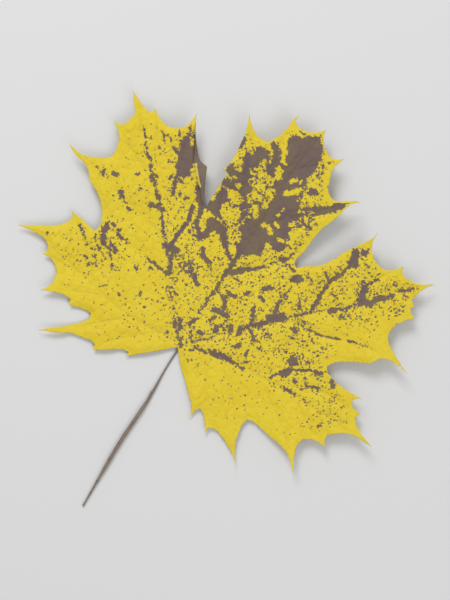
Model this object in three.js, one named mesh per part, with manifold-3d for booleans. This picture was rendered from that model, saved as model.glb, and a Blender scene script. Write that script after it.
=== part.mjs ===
// A fallen Norway maple leaf lying on its underside: a thin five-lobed blade with its main
// veins standing proud underneath, and the stalk that carried it.
// Millimetres, +Z up. The origin is under the middle of the swelling where the main veins
// meet, on the surface that the leaf lies on. +Y runs out along the central lobe.
import * as THREE from "three";
import { mergeVertices } from "three/addons/utils/BufferGeometryUtils.js";
import Module from "manifold-3d";

const wasm = await Module();
wasm.setup();

// Driving dimensions.
const BLADE_THICKNESS = 0.35;
const REST_HEIGHT = 0.9;        // underside of the blade above the surface, round the vein junction
const FLAT_RADIUS = 30;         // the palm of the leaf is flat this far from the vein junction
const LIFT_RADIUS = 95;         // the lobes have their full lift at this distance
const CUPPING = 3.2;            // lobe margins stand this much higher than the lobe midribs
const GRID_STEP = 3.6;          // mesh step of the blade
const MARGIN_STEP = 2.2;        // mesh step along the margin
const VEIN_HALF_WIDTH = 0.8;    // at the vein junction
const VEIN_TIP_HALF_WIDTH = 0.3;
const VEIN_TIP_DEPTH = 0.15;
const VEIN_STEP = 6;
const JUNCTION_RADIUS = 2;
const STALK_RADIUS = 0.72;      // at its thickest, near the middle
const STALK_END_RADIUS = 0.3;
const STALK_GAP = 0.35;         // between the stalk's upper end and the blade's vein junction
const STALK_SIDES = 10;
const STALK_STEPS = 30;

// The margin, from the notch at the stalk round the left side. Each row is one bay of the
// margin: it starts at a sharp tooth, or at the sharp bottom of a notch, and runs smoothly
// through its other points to the start of the next row.
const MARGIN = [
  // lower left lobe
  [[-0.5, -2.2], [-5.5, -7]],
  [[-14.6, -15.2], [-14.3, -13.2], [-17, -13.7], [-22.5, -17.5]],
  [[-25.6, -19.4], [-26, -17.7], [-27.8, -17], [-32, -18], [-35.7, -18.7], [-40.3, -21.4]],
  [[-46.5, -24], [-37, -15.7], [-33.3, -11.2], [-33, -9], [-36.4, -9]],
  [[-41.7, -10.4], [-41.7, -8.7], [-46.6, -8.6], [-50, -10]],
  [[-53.4, -11.4], [-51.3, -8], [-51.6, -3.5], [-54.6, -0.5], [-56.7, 0.2]],
  [[-59.4, 0], [-58.8, 2.5], [-62, 5], [-67.4, 4.8]],
  [[-73.1, 4], [-66, 8], [-59.6, 12.7], [-57.5, 16.5]],
  // upper left lobe
  [
    [-59, 18.7], [-54, 18.3], [-49.7, 17.3], [-47.8, 17.3], [-47.8, 20.4],
    [-50.4, 25.3], [-54, 28.7], [-59, 31.3], [-62.8, 35], [-69.6, 36.8],
  ],
  [[-72.5, 38.8], [-69, 38], [-64.8, 38.4], [-57.5, 43], [-57.7, 47.2], [-59.6, 51.2]],
  [[-63.6, 54], [-60.2, 54.6], [-58.9, 57.8]],
  [[-58.5, 60.5], [-61.3, 64]],
  [[-63.4, 67], [-57.8, 64.5], [-53.7, 63.7]],
  [[-53.3, 66], [-50.6, 64], [-45.7, 63], [-41.5, 65], [-39.8, 68.4]],
  [[-39.7, 72.3], [-36.7, 66.8], [-33, 62], [-29.6, 58.8]],
  [[-26.4, 58.2], [-22, 49.6]],
  // central lobe
  [[-18.9, 45], [-19.2, 51.5], [-19, 57], [-19.3, 60.8]],
  [[-21, 60.3], [-20.1, 63.7], [-20.5, 71], [-21.6, 76.8]],
  [[-23.9, 82.6], [-20.7, 79.3], [-17.4, 77.3]],
  [[-12.7, 77], [-10.1, 82.5], [-9.3, 87.8], [-9.2, 90]],
  [[-8.2, 91.3], [-8.2, 89], [-5.6, 87.6], [0, 89.4]],
  [[2.5, 92], [3.2, 89.5], [5.8, 86.8], [9.6, 84.7]],
  [[13.7, 86.8], [12.4, 82.2], [13.4, 78], [15.5, 73.8], [18.3, 72.4], [22.4, 74.4], [24.8, 76.2]],
  // right lobe
  [
    [26.8, 76.7], [24.2, 73.8], [22.8, 67.8], [20.3, 60.6], [19.4, 50.7],
    [18.6, 46.5], [20, 44.7], [23, 47.5], [27, 50.3], [32, 59.5], [37.3, 68.4],
  ],
  [[38, 71.2], [38.7, 66], [42, 62.5], [47, 61.2], [50, 63]],
  [[52.5, 66], [52.4, 64.2], [55, 63], [59.6, 63.3]],
  [[65.2, 66.4], [62.5, 62], [61.7, 57]],
  [[63.2, 56], [62.9, 53.6]],
  [[65.7, 52.5], [61.8, 47.2], [61, 42], [64, 39]],
  // lower right lobe
  [
    [74.2, 34], [68.4, 34.8], [63.7, 34], [61, 30.2], [55.4, 27], [49.8, 23],
    [48.6, 20.3], [54.5, 17.8], [61.4, 17.6],
  ],
  [[65.5, 17.9], [62.7, 16], [63.5, 14]],
  [[67.6, 12.8], [67, 10.8], [70.5, 7.7]],
  [[77.6, 5.2], [67.7, 4.4], [61.7, -1]],
  [[63.5, -4], [58.3, -4.2], [55.2, -6.5], [55, -10.3]],
  [[59, -18.2], [52.6, -13], [44.7, -11.6], [38.3, -10.5], [34.8, -10.6], [34.3, -14], [35.8, -20.4]],
  [[41.3, -29], [37.5, -24.8], [29.4, -20.6], [25.3, -20.3]],
  [[24.2, -23], [22, -19.5], [17.6, -16.3], [17.2, -19.2]],
  [[16.4, -22.1], [16, -18.9], [9.3, -12], [3.5, -7]],
];

// The five main veins, from the junction out along the lobes.
const MAIN_VEINS = [
  [[0, 0], [-12, -2], [-25, -2], [-40, 0.5], [-54, 3], [-68, 4]],
  [[0, 0], [-5.5, 4.5], [-15.5, 17], [-24, 25.5], [-32, 36], [-40.5, 44], [-48, 51.5], [-59, 62.5]],
  [[0, 0], [-1.5, 8.5], [0.5, 20], [1, 33], [1, 51], [0.5, 70], [2, 88.5]],
  [[0, 0], [7.5, 7], [15, 14], [24, 25], [38.5, 38.5], [50.5, 51.5], [62, 63.5]],
  [[0, 0], [7.5, 1], [15.5, 3], [25, 4.2], [38.5, 5.3], [52, 5.5], [73, 5.4]],
];

// The stalk lies almost straight down -Y: [x, y] of its middle line.
const STALK_LINE = [[0, -10], [0.7, -24], [0.4, -42], [0.9, -56], [1.5, -69]];

function smoothCurve(points) {
  const route = points.map(([x, y, z = 0]) => new THREE.Vector3(x, y, z));
  return new THREE.CatmullRomCurve3(route, false, "centripetal");
}

// Height of the blade's underside. The palm is flat, each lobe lifts towards its tip by its
// own amount, and the margins of the lobes, which lie 45 degrees apart, stand above the midribs.
function undersideHeight(x, y) {
  const lift = THREE.MathUtils.smoothstep(Math.hypot(x, y), FLAT_RADIUS, LIFT_RADIUS);
  const angle = Math.atan2(y, x);
  const lobeLift = 4 + 1.6 * Math.cos(angle - 0.4) + 1.4 * Math.cos(3 * angle + 0.9);
  const cup = CUPPING * (1 - Math.cos(8 * angle)) / 2;
  return REST_HEIGHT + lift * (lobeLift + cup);
}

function marginPoints() {
  const points = [];
  MARGIN.forEach((bay, i) => {
    const next = MARGIN[(i + 1) % MARGIN.length][0];
    const curve = smoothCurve([...bay, next]);
    const steps = Math.max(bay.length + 1, Math.round(curve.getLength() / MARGIN_STEP));
    for (let k = 0; k < steps; k += 1) {
      const p = curve.getPointAt(k / steps);
      points.push(new THREE.Vector2(p.x, p.y));
    }
  });
  return points;
}

function toSolid(geometry) {
  const bare = geometry.clone();
  bare.deleteAttribute("normal");
  bare.deleteAttribute("uv");
  const merged = mergeVertices(bare, 1e-5);
  return new wasm.Manifold(new wasm.Mesh({
    numProp: 3,
    vertProperties: new Float32Array(merged.attributes.position.array),
    triVerts: new Uint32Array(merged.index.array),
  }));
}

function toGeometry(solid) {
  const mesh = solid.getMesh();
  const geometry = new THREE.BufferGeometry();
  geometry.setAttribute("position", new THREE.BufferAttribute(mesh.vertProperties, 3));
  geometry.setIndex(new THREE.BufferAttribute(mesh.triVerts, 1));
  geometry.computeVertexNormals();
  return geometry;
}

// Moves every vertex of a geometry by a rule that takes and returns [x, y, z].
function reshape(geometry, rule) {
  const position = geometry.attributes.position;
  for (let i = 0; i < position.count; i += 1) {
    position.setXYZ(i, ...rule(position.getX(i), position.getY(i), position.getZ(i)));
  }
  return geometry;
}

// The curved sheet that the blade is cut from, larger than the leaf all round.
function curvedSheet(outline) {
  const box = new THREE.Box2().setFromPoints(outline).expandByScalar(GRID_STEP);
  const size = box.getSize(new THREE.Vector2());
  const middle = box.getCenter(new THREE.Vector2());
  const columns = Math.round(size.x / GRID_STEP);
  const rows = Math.round(size.y / GRID_STEP);
  const sheet = new THREE.BoxGeometry(size.x, size.y, BLADE_THICKNESS, columns, rows, 1);
  return reshape(sheet, (u, v, w) => {
    const x = u + middle.x;
    const y = v + middle.y;
    return [x, y, undersideHeight(x, y) + BLADE_THICKNESS / 2 + w];
  });
}

function outlinePrism(outline) {
  const depth = 40;
  const prism = new THREE.ExtrudeGeometry(new THREE.Shape(outline), { depth, bevelEnabled: false });
  return prism.translate(0, 0, -depth / 4);
}

// A vein stands out below the blade. It is widest and deepest at the junction.
function veinRib(points) {
  const curve = smoothCurve(points);
  const steps = Math.round(curve.getLength() / VEIN_STEP);
  const bar = new THREE.BoxGeometry(1, 1, 1, 1, steps, 1);
  return reshape(bar, (across, along, up) => {
    const t = THREE.MathUtils.clamp(along + 0.5, 0, 1);
    const p = curve.getPointAt(t);
    const tangent = curve.getTangentAt(t);
    const halfWidth = THREE.MathUtils.lerp(VEIN_HALF_WIDTH, VEIN_TIP_HALF_WIDTH, t);
    const x = p.x + 2 * across * halfWidth * tangent.y;
    const y = p.y - 2 * across * halfWidth * tangent.x;
    const underside = undersideHeight(p.x, p.y);
    const taper = THREE.MathUtils.smoothstep(p.length(), FLAT_RADIUS + 8, LIFT_RADIUS);
    const depth = THREE.MathUtils.lerp(REST_HEIGHT, VEIN_TIP_DEPTH, taper);
    const top = underside + BLADE_THICKNESS / 2;
    const bottom = Math.max(0, underside - depth);
    return [x, y, up > 0 ? top : bottom];
  });
}

// The swelling where the veins meet, flat underneath.
function veinJunction() {
  const height = REST_HEIGHT + BLADE_THICKNESS / 2;
  const swelling = new THREE.CylinderGeometry(JUNCTION_RADIUS, JUNCTION_RADIUS, height, 16);
  return swelling.rotateX(Math.PI / 2).translate(0, 0, height / 2);
}

function leafBlade() {
  const outline = marginPoints();
  let blade = toSolid(curvedSheet(outline)).intersect(toSolid(outlinePrism(outline)));
  for (const points of MAIN_VEINS) {
    blade = blade.add(toSolid(veinRib(points)));
  }
  return toGeometry(blade.add(toSolid(veinJunction())));
}

// The stalk is thin at both ends and thickest near its middle, and lies on the surface. Its
// upper end is thin enough to pass under the blade to the vein junction.
function leafStalk() {
  const curve = smoothCurve([[0, -JUNCTION_RADIUS - STALK_GAP], ...STALK_LINE]);
  const stalk = new THREE.CylinderGeometry(1, 1, 1, STALK_SIDES, STALK_STEPS);
  return reshape(stalk, (across, along, up) => {
    const t = THREE.MathUtils.clamp(0.5 - along, 0, 1);
    const p = curve.getPointAt(t);
    const tangent = curve.getTangentAt(t);
    const swell = Math.pow(Math.sin(Math.PI * t), 0.8);
    const radius = THREE.MathUtils.lerp(STALK_END_RADIUS, STALK_RADIUS, swell);
    return [
      p.x - across * radius * tangent.y,
      p.y + across * radius * tangent.x,
      radius + up * radius,
    ];
  });
}

function piece(name, geometry, color, roughness) {
  const material = new THREE.MeshStandardMaterial({ color, roughness, metalness: 0 });
  const mesh = new THREE.Mesh(geometry, material);
  mesh.name = name;
  return mesh;
}

const leaf = new THREE.Group();
leaf.add(piece("leaf_blade", leafBlade(), 0xe2c830, 0.75));
leaf.add(piece("leaf_stalk", leafStalk(), 0x786c62, 0.7));

export default leaf;
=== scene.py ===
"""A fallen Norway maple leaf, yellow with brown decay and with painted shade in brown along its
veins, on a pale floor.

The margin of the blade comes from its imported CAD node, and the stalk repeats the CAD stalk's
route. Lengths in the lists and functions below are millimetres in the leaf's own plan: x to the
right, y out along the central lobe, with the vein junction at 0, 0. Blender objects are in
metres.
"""
import math
import random

import bpy
import numpy as np
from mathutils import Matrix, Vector
from mathutils.geometry import delaunay_2d_cdt
from mathutils.kdtree import KDTree


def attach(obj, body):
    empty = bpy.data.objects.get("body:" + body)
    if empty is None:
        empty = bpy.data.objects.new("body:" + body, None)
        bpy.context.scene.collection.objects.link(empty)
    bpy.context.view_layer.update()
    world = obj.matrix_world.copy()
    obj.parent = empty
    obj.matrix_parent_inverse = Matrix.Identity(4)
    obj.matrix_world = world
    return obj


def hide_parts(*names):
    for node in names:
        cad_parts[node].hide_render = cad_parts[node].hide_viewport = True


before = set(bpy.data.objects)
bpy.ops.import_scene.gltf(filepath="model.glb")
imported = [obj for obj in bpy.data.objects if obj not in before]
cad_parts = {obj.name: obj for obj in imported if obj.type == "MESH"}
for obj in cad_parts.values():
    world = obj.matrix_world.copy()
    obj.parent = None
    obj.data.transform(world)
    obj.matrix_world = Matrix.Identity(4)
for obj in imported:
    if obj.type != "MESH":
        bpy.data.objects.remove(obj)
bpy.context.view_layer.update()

MM = 0.001

# ---------------------------------------------------------------- shape of the blade

SHEET = 0.22            # thickness of the blade between its veins
RIM_SHEET = 0.35        # its thickness at the margin, as a share of that
FLOOR_GAP = 0.02        # the least height of the blade's underside above the floor
MESH_STEP = 0.5         # spacing of the blade's mesh
MARGIN_STEP = 0.3       # spacing of its mesh along the margin
CORNER_TURN = 1.0       # radians: the margin turns at least this much at a tooth or a notch
STRAIGHT_TURN = 0.006   # radians: a point of the CAD rim that turns less than this is left out

# The curl of the blade, as in the CAD model but for CURL_SHARE: its lobes lift a little less.
REST_HEIGHT = 0.9
FLAT_RADIUS = 30
LIFT_RADIUS = 95
CUPPING = 3.2
CURL_SHARE = 0.96

# Waves of the whole blade and of its margin, and the relief of its upper side.
WAVE_HEIGHT = 0.22
RIM_WAVE_HEIGHT = 0.32
RIM_WAVE_REACH = 9      # from the margin inwards
VEIN_PANEL_BULGE = 0.5
CELL_BULGE = 0.16
VEIN_GROOVE = 0.28

# Main veins, from the junction out along the five lobes.
MAIN_VEINS = [
    [(0, 0), (-12, -2), (-25, -2), (-40, 0.5), (-54, 3), (-68, 4)],
    [(0, 0), (-5.5, 4.5), (-15.5, 17), (-24, 25.5), (-32, 36), (-40.5, 44), (-48, 51.5), (-59, 62.5)],
    [(0, 0), (-1.5, 8.5), (0.5, 20), (1, 33), (1, 51), (0.5, 70), (2, 88.5)],
    [(0, 0), (7.5, 7), (15, 14), (24, 25), (38.5, 38.5), (50.5, 51.5), (62, 63.5)],
    [(0, 0), (7.5, 1), (15.5, 3), (25, 4.2), (38.5, 5.3), (52, 5.5), (73, 5.4)],
]

# Side veins, from a main vein out to a tooth or a notch of the margin.
SIDE_VEINS = [
    # lower left lobe
    [(-10, -1.7), (-15, -6.5), (-22, -13), (-25, -18)],
    [(-20, -2.2), (-27, -8), (-36, -16), (-45, -22.8)],
    [(-33, -0.8), (-39, -3.5), (-46, -7), (-52, -10.6)],
    [(-45, 1.4), (-52, 0.8), (-58, 0.6)],
    [(-22, -2), (-30, 4), (-36, 9.5), (-44, 15.5), (-46.5, 17)],
    [(-37, 0.2), (-44, 6), (-51, 13), (-57.5, 18)],
    # upper left lobe
    [(-14, 14.5), (-23, 18.6), (-33, 19.5), (-43, 20.5), (-49, 22.5)],
    [(-27, 29), (-38, 31), (-50, 34), (-60, 36.5), (-70, 38)],
    [(-38, 41.8), (-47, 46), (-55, 50), (-61.5, 53.8)],
    [(-44, 48), (-46, 54), (-49, 60), (-52.8, 65)],
    [(-24.5, 26.5), (-29, 35), (-32.5, 44), (-35, 54), (-39, 66), (-39.6, 71)],
    [(-19.5, 22), (-22, 28), (-21.8, 36), (-23, 43), (-25, 52), (-27, 57)],
    # central lobe
    [(0.6, 34), (-5.5, 37.5), (-9.5, 42), (-14.5, 47), (-17, 54), (-20, 60)],
    [(1, 45), (-6, 51), (-11, 58), (-15, 68), (-19, 76), (-23, 81.5)],
    [(0.8, 62), (-4, 69), (-8, 77), (-9, 86), (-8.8, 90)],
    [(0.6, 74), (5, 78), (9, 82), (12.8, 86)],
    [(1, 50), (6, 56), (12, 62), (18, 68.5), (23, 74), (26, 76.4)],
    [(0.8, 31), (5, 34.5), (10, 39), (15, 45), (18, 52), (19.5, 58)],
    # upper right lobe
    [(24.5, 25.5), (22, 31), (22, 38), (22.5, 45)],
    [(33, 33.2), (32.8, 40), (33.3, 47), (35.5, 55), (36.8, 63), (37.8, 70)],
    [(44.5, 44.8), (45, 50), (47, 57), (51, 64)],
    [(50, 51), (56, 52), (64, 52.6)],
    [(21, 21.4), (31, 28), (40, 29.4), (50, 32.5), (60, 34.6), (72, 34.2)],
    # lower right lobe
    [(27, 4.4), (34, 8.5), (39, 13), (44, 16), (52, 17.3), (64, 17.9)],
    [(38, 5.3), (46, 10), (54, 12.4), (66, 12.6)],
    [(42, 5.4), (50, 2), (56, -1.5), (62.5, -3.8)],
    [(30, 4.6), (40, -2), (50, -9), (58, -17)],
    [(18, 3.3), (25, -6), (33, -16), (40.5, -28)],
    [(9, 1.3), (14, -6), (20, -15), (24, -22)],
]

# Half width of a vein at its start and its end, and how far it stands out underneath.
MAIN_HALF_WIDTH = (0.8, 0.25)
MAIN_DEPTH = (0.85, 0.2)
SIDE_HALF_WIDTH = (0.38, 0.12)
SIDE_DEPTH = (0.4, 0.08)

# Where small nicks are in the margin.
NICKS = [
    (12.3, 80.3), (14.5, 75.4), (29.8, 55.4), (52.7, 62.9), (61.5, 46.9), (60.2, 43.4), (70.4, 35),
]
NICK_DEPTH = 0.8
NICK_HALF_WIDTH = 0.75

# Holes: x and y of the middle, half length, half width and direction in degrees.
HOLES = [
    (-64.7, 37.5, 0.28, 0.24, 0),
    (24.8, 47.9, 0.8, 0.17, 32),
    (5.2, 86.9, 2, 0.14, -52),
]
MARGIN_ROUGHNESS = 0.22     # how far the margin strays inwards between its teeth

# ---------------------------------------------------------------- brown decay and painted vein shade

# Brown decay, and thin strokes along the veins that are painted shade of their grooves; both go
# through the blade. Each entry is a half width and the line that it follows.
DECAY_AND_VEIN_SHADE = [
    # central lobe: most of it is brown
    (7, [(-0.3, 80.7), (0.2, 78)]),
    (3.2, [(-3, 85.5), (2, 86), (3.5, 83)]),
    (4.2, [(2, 73), (-6, 72)]),
    (3, [(-9, 72), (-13, 71.5)]),
    (2.6, [(5, 71), (6, 66)]),
    (1.5, [(-21, 73), (-20.9, 71)]),
    (1.3, [(-10, 77.5), (-8, 76)]),
    (5, [(-11, 68), (-10, 58)]),
    (3, [(-14.5, 68), (-14.5, 60)]),
    (5.5, [(-4, 68), (-4, 52)]),
    (4.5, [(3.5, 66), (5.5, 60), (4.5, 53)]),
    (3, [(8.5, 61), (8.5, 53), (9.5, 50)]),
    (1.6, [(9, 61.5), (13.5, 64), (18, 68), (21.3, 71.5)]),
    (0.35, [(9.8, 82.7), (10.2, 82.7)]),
    (1.1, [(16, 66.3), (20, 69.6), (22.2, 72.5)]),
    (0.45, [(22, 72.5), (23.5, 74.6)]),
    (1.9, [(10.5, 70.5), (13, 67)]),
    (1.2, [(11, 62), (12.5, 58.5)]),
    (3.3, [(-16.8, 61.5), (-16.9, 56), (-17, 48.5)]),
    (1.1, [(-18.6, 46.8), (-16, 46.4), (-14.5, 45.5)]),
    (3.2, [(-11, 58), (-8.5, 54)]),
    (3.6, [(-7.5, 50.5), (-12, 50.5)]),
    (5.3, [(0, 46.7), (3, 47.5)]),
    (4, [(1.5, 44.5), (0.5, 42)]),
    (2.4, [(8, 48.5), (10.5, 48)]),
    (1.2, [(5, 44), (5.8, 42)]),
    (0.9, [(0.4, 40), (-0.2, 30)]),
    (1.2, [(-2, 45), (-5, 47)]),
    (0.9, [(-15, 46.5), (-10, 44.8)]),
    (1.9, [(-14.5, 42.3), (-9, 42)]),
    (1.3, [(-8.5, 41), (-5.5, 38)]),
    (0.7, [(-5.5, 37.5), (-1, 34.5)]),
    (1.3, [(-14.3, 41), (-13.5, 37.5), (-15, 35.5)]),
    (0.55, [(-15.5, 35), (-19.5, 35.2)]),
    (0.9, [(-19.6, 44), (-19, 39)]),
    (0.8, [(-19, 39), (-16.5, 37.3)]),
    # upper left of the palm
    (0.8, [(-23, 43.5), (-21.8, 39), (-22, 34), (-22.3, 30), (-22.3, 27)]),
    (1.3, [(-24, 26.5), (-19.5, 27)]),
    (0.55, [(-26, 28.5), (-28, 31.5), (-31, 35)]),
    (0.9, [(-20.5, 25.5), (-19, 22), (-17.5, 19)]),
    (0.6, [(-22.5, 25), (-20, 23)]),
    (0.6, [(-26.5, 19), (-23, 18.5), (-17, 18.2)]),
    (1, [(-12, 32.5), (-10.5, 30.5), (-7.5, 29.5)]),
    (0.45, [(-7.5, 29.5), (-5, 28)]),
    (0.9, [(-11, 23.5), (-9.5, 22.8), (-8, 21.5), (-6.5, 20.7)]),
    (0.35, [(-14, 13.5), (-11.3, 11)]),
    (0.35, [(-15.5, 14), (-13.8, 14.8), (-12, 13.7), (-10.8, 13.6)]),
    # round the vein junction
    (0.35, [(-9.5, 9), (-6.5, 5.5), (-4, 2.5), (-1.8, 0)]),
    (0.9, [(-5.2, 7), (-4.3, 5.3), (-3.5, 4.2)]),
    (0.6, [(-6.7, 4.7), (-5, 3.3)]),
    (0.6, [(0, 34), (-0.2, 27), (-0.2, 21), (-0.8, 18.5)]),
    (0.45, [(-0.3, 18), (-0.8, 13), (-0.2, 10.5)]),
    (0.9, [(-0.8, 9.5), (-1.2, 7)]),
    (0.4, [(0.5, 5.5), (1.5, 3.5), (1.2, 0.5)]),
    (0.6, [(-1.2, 1.5), (-0.8, 0)]),
    (0.8, [(-0.4, -0.7), (0.2, -1.4)]),
    (0.6, [(2.7, 2.4), (3.6, 2.4)]),
    (0.4, [(4, 3.5), (7, 6.2)]),
    (0.8, [(3, 6.5), (4.2, 7)]),
    # right of the palm
    (0.5, [(1, 22.5), (3, 22)]),
    (0.8, [(4, 24.3), (7, 24)]),
    (0.9, [(4, 22), (5.5, 19.5), (6.5, 17.5)]),
    (1.1, [(3.5, 16.3), (8, 16.8)]),
    (0.6, [(5, 14), (4, 12)]),
    (0.9, [(7.5, 11.5), (8, 10)]),
    (1.3, [(1.5, 31), (4, 33.5)]),
    (0.3, [(0, 30), (5, 29.7)]),
    (0.9, [(4.5, 34), (6.5, 35.5), (7.5, 36)]),
    (0.6, [(8, 37), (10, 38.7)]),
    (0.4, [(11.5, 41), (13.5, 43.5)]),
    (1.05, [(14, 44.3), (15.3, 45.4)]),
    (0.35, [(15.8, 46.8), (16.5, 48.5)]),
    (0.7, [(14.2, 31.7), (15.5, 33.4), (17, 34.2)]),
    (0.7, [(14.8, 29), (16.5, 28.5)]),
    (0.7, [(9.5, 27), (11, 28)]),
    (0.7, [(11.5, 14.5), (12.5, 12.7)]),
    (0.9, [(17, 9), (17.8, 10.8)]),
    (0.6, [(21.5, 8.5), (21.5, 10.5)]),
    (0.55, [(23, 6.5), (23.6, 6.6)]),
    (0.35, [(24, 12.5), (24.7, 14), (26, 12.7)]),
    (1.5, [(21.5, 41), (23.2, 42)]),
    (0.4, [(24.5, 44.2), (27.5, 43.8)]),
    (0.4, [(18.5, 43.7), (20.5, 43.7)]),
    # upper right lobe
    (0.8, [(15, 15.5), (17.2, 18), (20, 20.5), (22.5, 23.5)]),
    (1.7, [(22, 24.5), (25.5, 27)]),
    (0.8, [(22.5, 27), (21.8, 30), (21.9, 31.5)]),
    (0.4, [(21.9, 31.5), (22, 34), (22.4, 37)]),
    (0.5, [(26, 27), (30, 31), (34.5, 35.3)]),
    (0.8, [(15, 24.5), (16.5, 21.5), (17.3, 18.5)]),
    (1, [(14.8, 16), (15.5, 13.5)]),
    (0.6, [(17.5, 17.5), (20, 15.8), (22, 14.5)]),
    (0.8, [(33, 35.5), (32.8, 41), (33, 45.5)]),
    (0.9, [(33, 46.5), (34.5, 50.5)]),
    (0.6, [(35, 50.5), (35.8, 55)]),
    (1.5, [(36, 56.5), (37, 57.5), (35.8, 59), (35, 61)]),
    (1.1, [(37.4, 62), (38.6, 63)]),
    (0.35, [(34.5, 35.3), (36.5, 37)]),
    (1, [(38.6, 37.9), (40, 39.5)]),
    (0.5, [(40, 40), (44, 42.5)]),
    (0.5, [(43, 42), (45.5, 45.5)]),
    (1.3, [(46, 47), (49.5, 48.2)]),
    (1.3, [(45.8, 49), (44.6, 52.3)]),
    (0.5, [(43.5, 53.5), (42, 53)]),
    (0.4, [(44.7, 53.3), (46.2, 55.2), (47, 57)]),
    (1.1, [(50, 50), (52, 52.5)]),
    (0.8, [(53, 52.5), (54.5, 55)]),
    (0.6, [(56, 57.5), (59.5, 60.8)]),
    (0.7, [(43, 39), (44, 39)]),
    (0.6, [(30, 49), (31, 47.8)]),
    (0.6, [(28, 35), (29, 33)]),
    (0.5, [(41, 59), (42, 59.2)]),
    (0.5, [(36, 44), (37.2, 44)]),
    (0.35, [(31.5, 28.2), (38, 28.5), (44, 30.3), (47, 31.5)]),
    (0.45, [(50, 32.7), (52, 33.3)]),
    (0.25, [(52, 33.3), (57, 34.7)]),
    (0.9, [(31, 25.5), (32.5, 26)]),
    (0.6, [(32, 22.5), (33, 22.7)]),
    # lower right lobe
    (1.1, [(10.5, 2.8), (14, 3.5), (18, 4)]),
    (0.55, [(18, 4), (24, 3.7)]),
    (0.5, [(5, 1), (7, 1.5), (10, 1.8)]),
    (0.3, [(3.5, -0.7), (5, 0)]),
    (1.5, [(36.5, 10), (38, 12)]),
    (0.5, [(34.5, 8.5), (33.5, 6.5)]),
    (0.5, [(38.5, 13), (42, 15)]),
    (0.6, [(42, 14.8), (44.5, 16.5)]),
    (1.1, [(36.3, 16.8), (38.5, 16)]),
    (0.6, [(36, 15), (37.5, 14)]),
    (0.7, [(46, 17.2), (48.5, 17.5)]),
    (0.45, [(41.6, 18.2), (42.6, 18.2)]),
    (0.9, [(53, 17), (54.3, 16)]),
    (0.6, [(46, 10.8), (48, 12), (50, 12.5)]),
    (0.3, [(45, 9), (47, 10.5)]),
    (0.65, [(41.2, 10.2), (42.2, 10.2)]),
    (0.5, [(38.5, 5.8), (41, 6), (44, 6.3)]),
    (0.45, [(48, 6.3), (49.5, 5.8)]),
    (0.6, [(57.2, 0.8), (57.4, 1.6)]),
    # upper left lobe, painted shade along its midrib, and spots
    (0.9, [(-31.5, 36.8), (-34, 36.6), (-36.5, 35.8)]),
    (0.4, [(-31, 35.5), (-33, 37.5), (-35.2, 39.5)]),
    (0.8, [(-35, 39.5), (-37, 41)]),
    (0.85, [(-38.5, 43), (-41.5, 44.5)]),
    (0.6, [(-40.8, 45.7), (-40, 45.5)]),
    (0.3, [(-43, 46.5), (-41.5, 45)]),
    (0.7, [(-43.5, 47.5), (-44, 48.5)]),
    (0.65, [(-45.5, 49.7), (-47.5, 51)]),
    (0.4, [(-48, 52), (-50, 54)]),
    (0.35, [(-50.5, 55), (-52, 57)]),
    (0.35, [(-52.8, 57.6), (-53.4, 58)]),
    (0.45, [(-49.2, 56.5), (-48.8, 56)]),
    (0.35, [(-47, 60), (-45.5, 59.5), (-44.2, 57)]),
    (0.5, [(-44, 60), (-41.5, 59.3)]),
    (0.4, [(-44.5, 54.8), (-43, 54.5)]),
    (0.5, [(-41.5, 63.5), (-40.5, 62)]),
    (0.5, [(-39, 67), (-38.6, 66)]),
    (1, [(-53.4, 38.3), (-52.6, 38.4)]),
    (0.7, [(-57, 37), (-56.5, 35.5)]),
    (0.4, [(-59.8, 37), (-59.3, 37)]),
    (1, [(-47.5, 34), (-46.5, 32.8)]),
    (0.4, [(-45, 31.7), (-43.8, 31.6)]),
    (0.5, [(-42.6, 30.5), (-41.4, 30.5)]),
    (0.5, [(-42.6, 38.2), (-42.1, 38.8)]),
    (0.55, [(-46.3, 42.5), (-45.7, 42.5)]),
    (0.5, [(-39.2, 52.5), (-37.6, 52.8)]),
    (0.55, [(-35.5, 48.3), (-35.3, 47.8)]),
    (0.35, [(-52.5, 34.1), (-52.1, 33.9)]),
    # upper left lobe, the decayed strip along its right side
    (2.6, [(-36.8, 61.5), (-34.5, 56), (-32.7, 52.5)]),
    (1.1, [(-37.5, 64), (-33.5, 61)]),
    (1.2, [(-36, 65), (-33.6, 61), (-31.9, 57.3)]),
    (0.5, [(-31.5, 57), (-31, 53.5)]),
    (0.8, [(-33.5, 50), (-32.8, 46.5), (-31.8, 43.5)]),
    (0.8, [(-40, 57.5), (-38, 57)]),
    (0.6, [(-36.2, 54.5), (-35.5, 52)]),
    (0.9, [(-25.5, 50), (-23.5, 47.8), (-21, 45)]),
    (1.8, [(-24, 50), (-20.5, 46)]),
    (0.5, [(-30, 48.5), (-32, 49)]),
    (0.5, [(-29.5, 45.3), (-29, 44)]),
    (0.5, [(-27, 44), (-26, 45.5)]),
    # lower left lobe, below its sinus
    (0.6, [(-45.5, 22.3), (-43, 22.5)]),
    (1.1, [(-45.5, 21.3), (-45, 18), (-43.5, 15.5)]),
    (0.7, [(-43, 15), (-39.5, 14.8)]),
    (0.9, [(-40, 16), (-38, 15)]),
    (0.3, [(-39.5, 13.5), (-37.5, 11.5)]),
    (0.4, [(-36.5, 10.5), (-35.2, 8.5)]),
    (0.4, [(-47, 16), (-46, 14)]),
    (0.4, [(-44.5, 13.5), (-43, 12)]),
    (0.45, [(-45.7, 11.5), (-45.3, 11.3)]),
    (0.6, [(-41.2, 22), (-40.7, 22)]),
    (0.7, [(-40, 20.5), (-38.5, 20)]),
    (0.4, [(-37, 20.5), (-36, 19.5)]),
    (0.45, [(-43.6, 9.7), (-43, 9.7)]),
    (0.4, [(-46.5, 7.7), (-45.5, 7.5)]),
    (0.4, [(-44, 5.5), (-43.3, 7), (-41, 7)]),
    (0.35, [(-48, 4.9), (-47.6, 4.7)]),
    (0.4, [(-54, 16.2), (-52, 15), (-50, 13.3), (-48, 11.5)]),
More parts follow.
